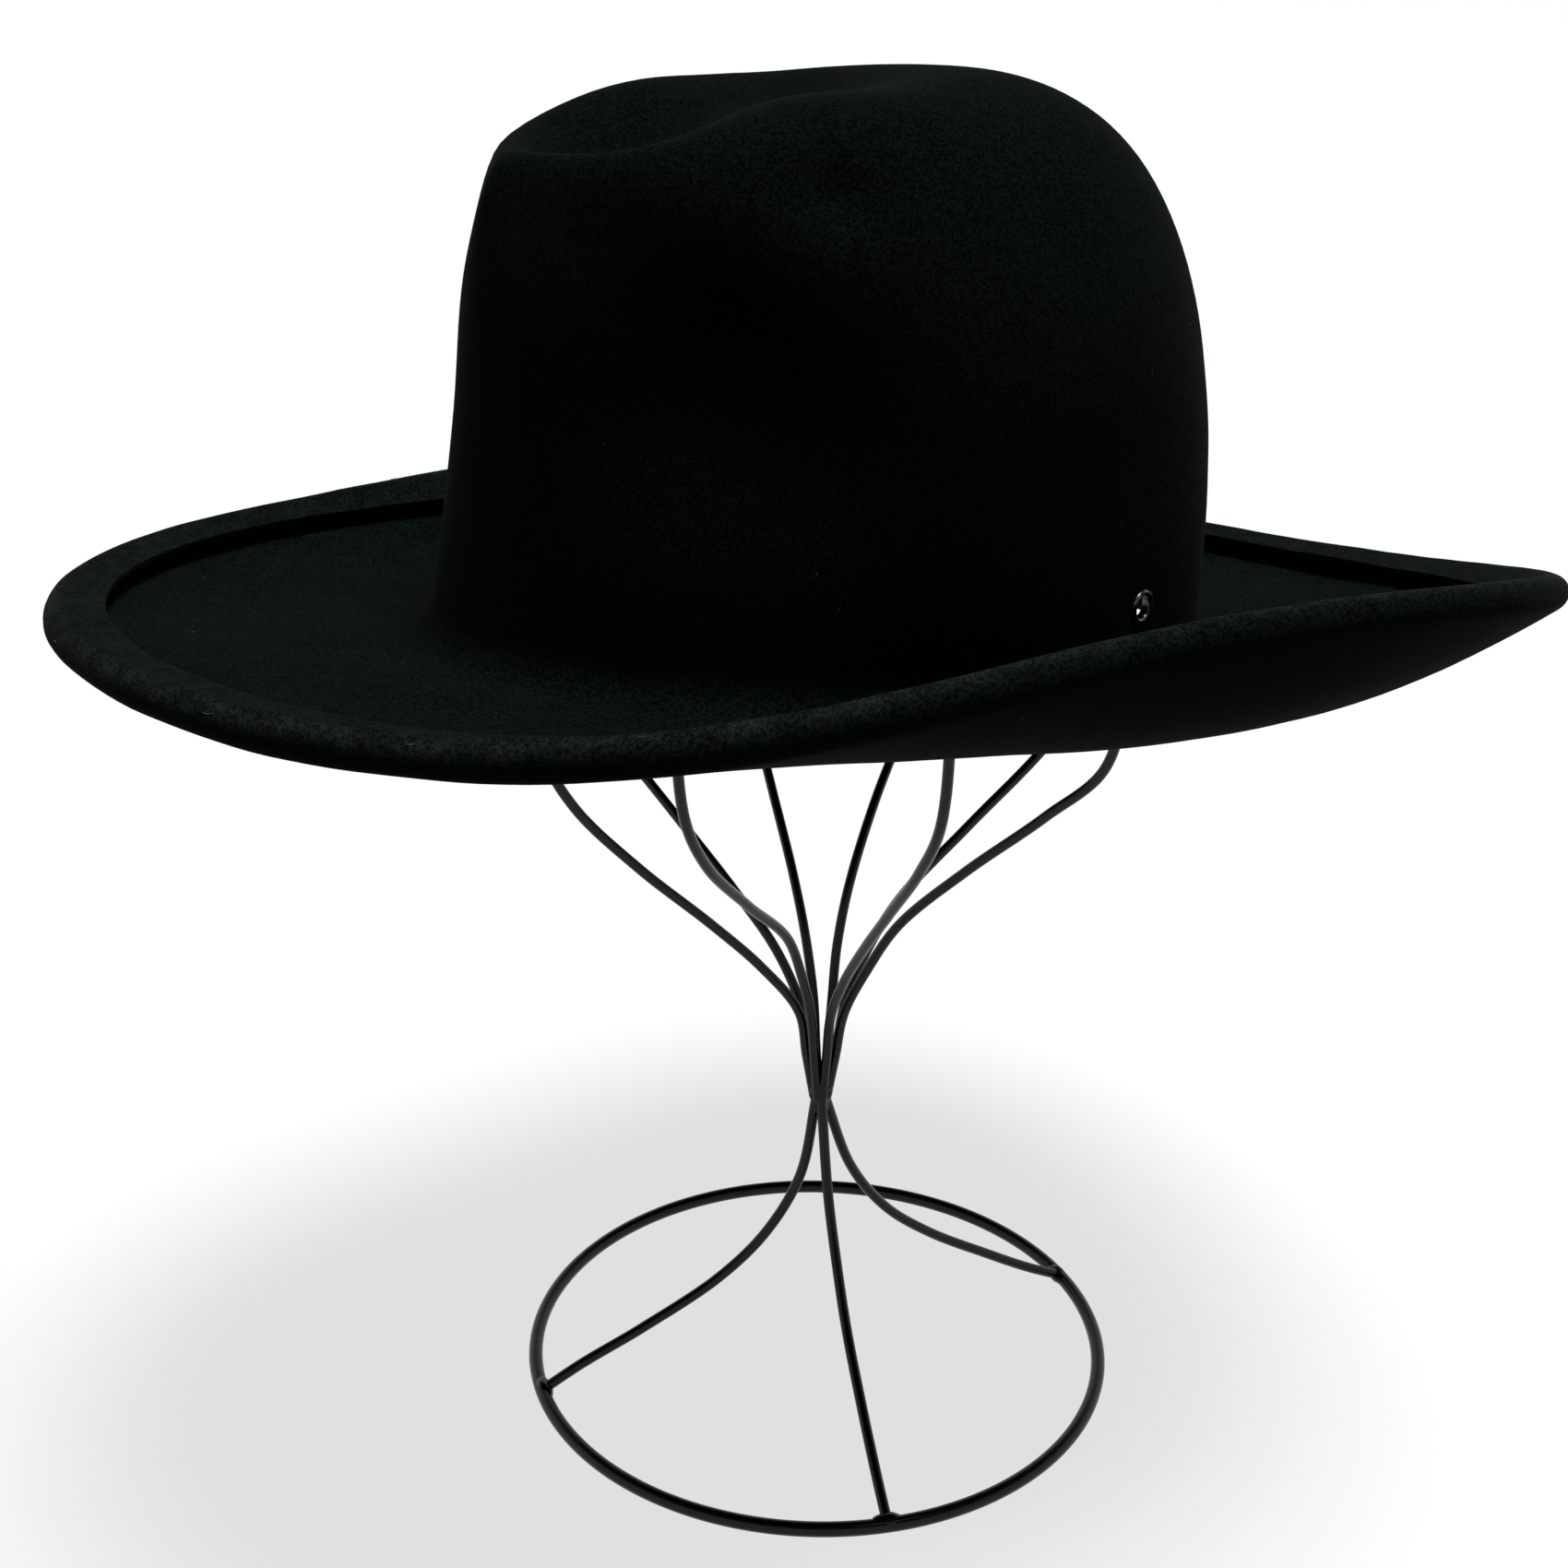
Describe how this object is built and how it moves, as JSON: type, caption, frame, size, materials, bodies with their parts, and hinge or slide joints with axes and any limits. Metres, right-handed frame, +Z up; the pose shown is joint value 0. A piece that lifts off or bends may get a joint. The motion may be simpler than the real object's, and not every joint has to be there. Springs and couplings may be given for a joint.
{
  "type": "western fedora on a wire hat stand",
  "caption": "Black felt western fedora with a creased, pinched crown, a rolled brim edge turned up at the sides and side eyelets, resting on an open wire stand.",
  "frame": {"origin": "on the floor under the middle of the whole object, seen from above", "axes": "+Z up; -Y the way the front of the hat points; +X the wearer's left side of the hat"},
  "size_m": [0.3158, 0.3806, 0.3688],
  "materials": {
    "felt": "dense matte black wool felt, brushed, with a faint sheen and a few specks of lint",
    "eyelet_metal": "dark plated metal, smooth",
    "wire": "black satin lacquer on steel wire"
  },
  "bodies": {
    "root": {"felt_body": "felt", "eyelet_left": "eyelet_metal", "eyelet_right": "eyelet_metal", "leg_front": "wire", "leg_back": "wire", "leg_side": "wire", "arm_1": "wire", "arm_2": "wire", "arm_3": "wire", "arm_4": "wire", "arm_5": "wire", "arm_6": "wire", "arm_7": "wire", "arm_8": "wire", "base_ring": "wire", "waist_weld": "wire", "top_cap": "wire"}
  },
  "joints": []
}
